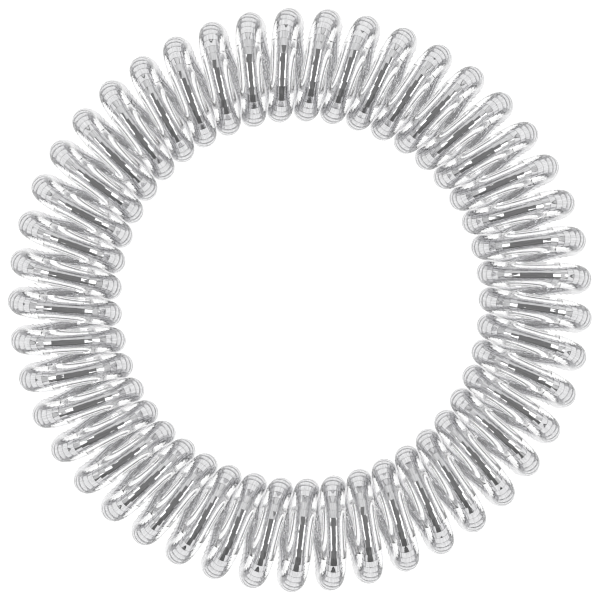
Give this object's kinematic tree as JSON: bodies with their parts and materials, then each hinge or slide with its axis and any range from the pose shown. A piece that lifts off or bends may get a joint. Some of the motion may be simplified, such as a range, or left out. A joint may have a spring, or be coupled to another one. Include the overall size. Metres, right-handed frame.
{
  "type": "spiral hair tie",
  "caption": "Closed ring of coiled clear plastic cord with a silver core; it stretches to hold hair and springs back.",
  "frame": {"origin": "centre of the ring", "axes": "+Z along the ring's axis; +X through the inner side of turn_01; the weld is near -X"},
  "size_m": [0.0499, 0.05, 0.0098],
  "materials": {
    "clear_cord": "clear, polished",
    "silver_core": "bright silver foil"
  },
  "bodies": {
    "turn_01": {"turn_01": "clear_cord"},
    "turn_02": {"turn_02": "clear_cord"},
    "turn_03": {"turn_03": "clear_cord"},
    "turn_04": {"turn_04": "clear_cord"},
    "turn_05": {"turn_05": "clear_cord"},
    "turn_06": {"turn_06": "clear_cord"},
    "turn_07": {"turn_07": "clear_cord"},
    "turn_08": {"turn_08": "clear_cord"},
    "turn_09": {"turn_09": "clear_cord"},
    "turn_10": {"turn_10": "clear_cord"},
    "turn_11": {"turn_11": "clear_cord"},
    "turn_12": {"turn_12": "clear_cord"},
    "turn_13": {"turn_13": "clear_cord"},
    "turn_14": {"turn_14": "clear_cord"},
    "turn_15": {"turn_15": "clear_cord"},
    "turn_16": {"turn_16": "clear_cord"},
    "turn_17": {"turn_17": "clear_cord"},
    "turn_18": {"turn_18": "clear_cord"},
    "turn_19": {"turn_19": "clear_cord"},
    "turn_20": {"turn_20": "clear_cord"},
    "turn_21": {"turn_21": "clear_cord"},
    "turn_22": {"turn_22": "clear_cord"},
    "turn_23": {"turn_23": "clear_cord", "weld_bead": "clear_cord"},
    "turn_24": {"turn_24": "clear_cord"},
    "turn_25": {"turn_25": "clear_cord"},
    "turn_26": {"turn_26": "clear_cord"},
    "turn_27": {"turn_27": "clear_cord"},
    "turn_28": {"turn_28": "clear_cord"},
    "turn_29": {"turn_29": "clear_cord"},
    "turn_30": {"turn_30": "clear_cord"},
    "turn_31": {"turn_31": "clear_cord"},
    "turn_32": {"turn_32": "clear_cord"},
    "turn_33": {"turn_33": "clear_cord"},
    "turn_34": {"turn_34": "clear_cord"},
    "turn_35": {"turn_35": "clear_cord"},
    "turn_36": {"turn_36": "clear_cord"},
    "turn_37": {"turn_37": "clear_cord"},
    "turn_38": {"turn_38": "clear_cord"},
    "turn_39": {"turn_39": "clear_cord"},
    "turn_40": {"turn_40": "clear_cord"},
    "turn_41": {"turn_41": "clear_cord"},
    "turn_42": {"turn_42": "clear_cord"},
    "turn_43": {"turn_43": "clear_cord"},
    "turn_44": {"turn_44": "clear_cord"},
    "turn_45": {"turn_45": "clear_cord"}
  },
  "joints": [
    {"name": "stretch", "type": "slide", "parent": "turn_01", "child": "turn_02", "axis": [-0.0349, 0.9994, 0], "range_m": [0, 0.0028], "stiffness_N_per_m": 3300},
    {"name": "stretch_02", "type": "slide", "parent": "turn_02", "child": "turn_03", "axis": [-0.1736, 0.9848, 0], "range_m": [0, 0.0028]},
    {"name": "stretch_03", "type": "slide", "parent": "turn_03", "child": "turn_04", "axis": [-0.309, 0.9511, 0], "range_m": [0, 0.00281]},
    {"name": "stretch_04", "type": "slide", "parent": "turn_04", "child": "turn_05", "axis": [-0.4384, 0.8988, 0], "range_m": [0, 0.00282]},
    {"name": "stretch_05", "type": "slide", "parent": "turn_05", "child": "turn_06", "axis": [-0.5592, 0.829, 0], "range_m": [0, 0.00283]},
    {"name": "stretch_06", "type": "slide", "parent": "turn_06", "child": "turn_07", "axis": [-0.6691, 0.7431, 0], "range_m": [0, 0.00284]},
    {"name": "stretch_07", "type": "slide", "parent": "turn_07", "child": "turn_08", "axis": [-0.766, 0.6428, 0], "range_m": [0, 0.00285]},
    {"name": "stretch_08", "type": "slide", "parent": "turn_08", "child": "turn_09", "axis": [-0.848, 0.5299, 0], "range_m": [0, 0.00287]},
    {"name": "stretch_09", "type": "slide", "parent": "turn_09", "child": "turn_10", "axis": [-0.9135, 0.4067, 0], "range_m": [0, 0.00289]},
    {"name": "stretch_10", "type": "slide", "parent": "turn_10", "child": "turn_11", "axis": [-0.9613, 0.2756, 0], "range_m": [0, 0.0029]},
    {"name": "stretch_11", "type": "slide", "parent": "turn_11", "child": "turn_12", "axis": [-0.9903, 0.1392, 0], "range_m": [0, 0.00292]},
    {"name": "stretch_12", "type": "slide", "parent": "turn_12", "child": "turn_13", "axis": [-1, 0, 0], "range_m": [0, 0.00294]},
    {"name": "stretch_13", "type": "slide", "parent": "turn_13", "child": "turn_14", "axis": [-0.9903, -0.1392, 0], "range_m": [0, 0.00296]},
    {"name": "stretch_14", "type": "slide", "parent": "turn_14", "child": "turn_15", "axis": [-0.9613, -0.2756, 0], "range_m": [0, 0.00298]},
    {"name": "stretch_15", "type": "slide", "parent": "turn_15", "child": "turn_16", "axis": [-0.9135, -0.4067, 0], "range_m": [0, 0.003]},
    {"name": "stretch_16", "type": "slide", "parent": "turn_16", "child": "turn_17", "axis": [-0.848, -0.5299, 0], "range_m": [0, 0.00301]},
    {"name": "stretch_17", "type": "slide", "parent": "turn_17", "child": "turn_18", "axis": [-0.766, -0.6428, 0], "range_m": [0, 0.00303]},
    {"name": "stretch_18", "type": "slide", "parent": "turn_18", "child": "turn_19", "axis": [-0.6691, -0.7431, 0], "range_m": [0, 0.00304]},
    {"name": "stretch_19", "type": "slide", "parent": "turn_19", "child": "turn_20", "axis": [-0.5592, -0.829, 0], "range_m": [0, 0.00305]},
    {"name": "stretch_20", "type": "slide", "parent": "turn_20", "child": "turn_21", "axis": [-0.4384, -0.8988, 0], "range_m": [0, 0.00306]},
    {"name": "stretch_21", "type": "slide", "parent": "turn_21", "child": "turn_22", "axis": [-0.309, -0.9511, 0], "range_m": [0, 0.00307]},
    {"name": "stretch_22", "type": "slide", "parent": "turn_22", "child": "turn_23", "axis": [-0.1736, -0.9848, 0], "range_m": [0, 0.00307]},
    {"name": "stretch_24", "type": "slide", "parent": "turn_25", "child": "turn_24", "axis": [-0.1045, 0.9945, 0], "range_m": [0, 0.00307]},
    {"name": "stretch_25", "type": "slide", "parent": "turn_26", "child": "turn_25", "axis": [-0.2419, 0.9703, 0], "range_m": [0, 0.00307]},
    {"name": "stretch_26", "type": "slide", "parent": "turn_27", "child": "turn_26", "axis": [-0.3746, 0.9272, 0], "range_m": [0, 0.00306]},
    {"name": "stretch_27", "type": "slide", "parent": "turn_28", "child": "turn_27", "axis": [-0.5, 0.866, 0], "range_m": [0, 0.00305]},
    {"name": "stretch_28", "type": "slide", "parent": "turn_29", "child": "turn_28", "axis": [-0.6157, 0.788, 0], "range_m": [0, 0.00304]},
    {"name": "stretch_29", "type": "slide", "parent": "turn_30", "child": "turn_29", "axis": [-0.7193, 0.6947, 0], "range_m": [0, 0.00303]},
    {"name": "stretch_30", "type": "slide", "parent": "turn_31", "child": "turn_30", "axis": [-0.809, 0.5878, 0], "range_m": [0, 0.00301]},
    {"name": "stretch_31", "type": "slide", "parent": "turn_32", "child": "turn_31", "axis": [-0.8829, 0.4695, 0], "range_m": [0, 0.003]},
    {"name": "stretch_32", "type": "slide", "parent": "turn_33", "child": "turn_32", "axis": [-0.9397, 0.342, 0], "range_m": [0, 0.00298]},
    {"name": "stretch_33", "type": "slide", "parent": "turn_34", "child": "turn_33", "axis": [-0.9781, 0.2079, 0], "range_m": [0, 0.00296]},
    {"name": "stretch_34", "type": "slide", "parent": "turn_35", "child": "turn_34", "axis": [-0.9976, 0.0698, 0], "range_m": [0, 0.00294]},
    {"name": "stretch_35", "type": "slide", "parent": "turn_36", "child": "turn_35", "axis": [-0.9976, -0.0698, 0], "range_m": [0, 0.00292]},
    {"name": "stretch_36", "type": "slide", "parent": "turn_37", "child": "turn_36", "axis": [-0.9781, -0.2079, 0], "range_m": [0, 0.0029]},
    {"name": "stretch_37", "type": "slide", "parent": "turn_38", "child": "turn_37", "axis": [-0.9397, -0.342, 0], "range_m": [0, 0.00289]},
    {"name": "stretch_38", "type": "slide", "parent": "turn_39", "child": "turn_38", "axis": [-0.8829, -0.4695, 0], "range_m": [0, 0.00287]},
    {"name": "stretch_39", "type": "slide", "parent": "turn_40", "child": "turn_39", "axis": [-0.809, -0.5878, 0], "range_m": [0, 0.00285]},
    {"name": "stretch_40", "type": "slide", "parent": "turn_41", "child": "turn_40", "axis": [-0.7193, -0.6947, 0], "range_m": [0, 0.00284]},
    {"name": "stretch_41", "type": "slide", "parent": "turn_42", "child": "turn_41", "axis": [-0.6157, -0.788, 0], "range_m": [0, 0.00283]},
    {"name": "stretch_42", "type": "slide", "parent": "turn_43", "child": "turn_42", "axis": [-0.5, -0.866, 0], "range_m": [0, 0.00282]},
    {"name": "stretch_43", "type": "slide", "parent": "turn_44", "child": "turn_43", "axis": [-0.3746, -0.9272, 0], "range_m": [0, 0.00281]},
    {"name": "stretch_44", "type": "slide", "parent": "turn_45", "child": "turn_44", "axis": [-0.2419, -0.9703, 0], "range_m": [0, 0.0028]},
    {"name": "stretch_45", "type": "slide", "parent": "turn_01", "child": "turn_45", "axis": [-0.1045, -0.9945, 0], "range_m": [0, 0.0028]}
  ],
  "couplings": [
    {"joint": "stretch_02", "follows": "stretch", "ratio": 1.0009},
    {"joint": "stretch_03", "follows": "stretch", "ratio": 1.0028},
    {"joint": "stretch_04", "follows": "stretch", "ratio": 1.0056},
    {"joint": "stretch_05", "follows": "stretch", "ratio": 1.0092},
    {"joint": "stretch_06", "follows": "stretch", "ratio": 1.0136},
    {"joint": "stretch_07", "follows": "stretch", "ratio": 1.0186},
    {"joint": "stretch_08", "follows": "stretch", "ratio": 1.0243},
    {"joint": "stretch_09", "follows": "stretch", "ratio": 1.0304},
    {"joint": "stretch_10", "follows": "stretch", "ratio": 1.0369},
    {"joint": "stretch_11", "follows": "stretch", "ratio": 1.0436},
    {"joint": "stretch_12", "follows": "stretch", "ratio": 1.0504},
    {"joint": "stretch_13", "follows": "stretch", "ratio": 1.0571},
    {"joint": "stretch_14", "follows": "stretch", "ratio": 1.0637},
    {"joint": "stretch_15", "follows": "stretch", "ratio": 1.07},
    {"joint": "stretch_16", "follows": "stretch", "ratio": 1.0759},
    {"joint": "stretch_17", "follows": "stretch", "ratio": 1.0813},
    {"joint": "stretch_18", "follows": "stretch", "ratio": 1.086},
    {"joint": "stretch_19", "follows": "stretch", "ratio": 1.09},
    {"joint": "stretch_20", "follows": "stretch", "ratio": 1.0932},
    {"joint": "stretch_21", "follows": "stretch", "ratio": 1.0955},
    {"joint": "stretch_22", "follows": "stretch", "ratio": 1.097},
    {"joint": "stretch_24", "follows": "stretch", "ratio": 1.097},
    {"joint": "stretch_25", "follows": "stretch", "ratio": 1.0955},
    {"joint": "stretch_26", "follows": "stretch", "ratio": 1.0932},
    {"joint": "stretch_27", "follows": "stretch", "ratio": 1.09},
    {"joint": "stretch_28", "follows": "stretch", "ratio": 1.086},
    {"joint": "stretch_29", "follows": "stretch", "ratio": 1.0813},
    {"joint": "stretch_30", "follows": "stretch", "ratio": 1.0759},
    {"joint": "stretch_31", "follows": "stretch", "ratio": 1.07},
    {"joint": "stretch_32", "follows": "stretch", "ratio": 1.0637},
    {"joint": "stretch_33", "follows": "stretch", "ratio": 1.0571},
    {"joint": "stretch_34", "follows": "stretch", "ratio": 1.0504},
    {"joint": "stretch_35", "follows": "stretch", "ratio": 1.0436},
    {"joint": "stretch_36", "follows": "stretch", "ratio": 1.0369},
    {"joint": "stretch_37", "follows": "stretch", "ratio": 1.0304},
    {"joint": "stretch_38", "follows": "stretch", "ratio": 1.0243},
    {"joint": "stretch_39", "follows": "stretch", "ratio": 1.0186},
    {"joint": "stretch_40", "follows": "stretch", "ratio": 1.0136},
    {"joint": "stretch_41", "follows": "stretch", "ratio": 1.0092},
    {"joint": "stretch_42", "follows": "stretch", "ratio": 1.0056},
    {"joint": "stretch_43", "follows": "stretch", "ratio": 1.0028},
    {"joint": "stretch_44", "follows": "stretch", "ratio": 1.0009},
    {"joint": "stretch_45", "follows": "stretch", "ratio": 1}
  ]
}
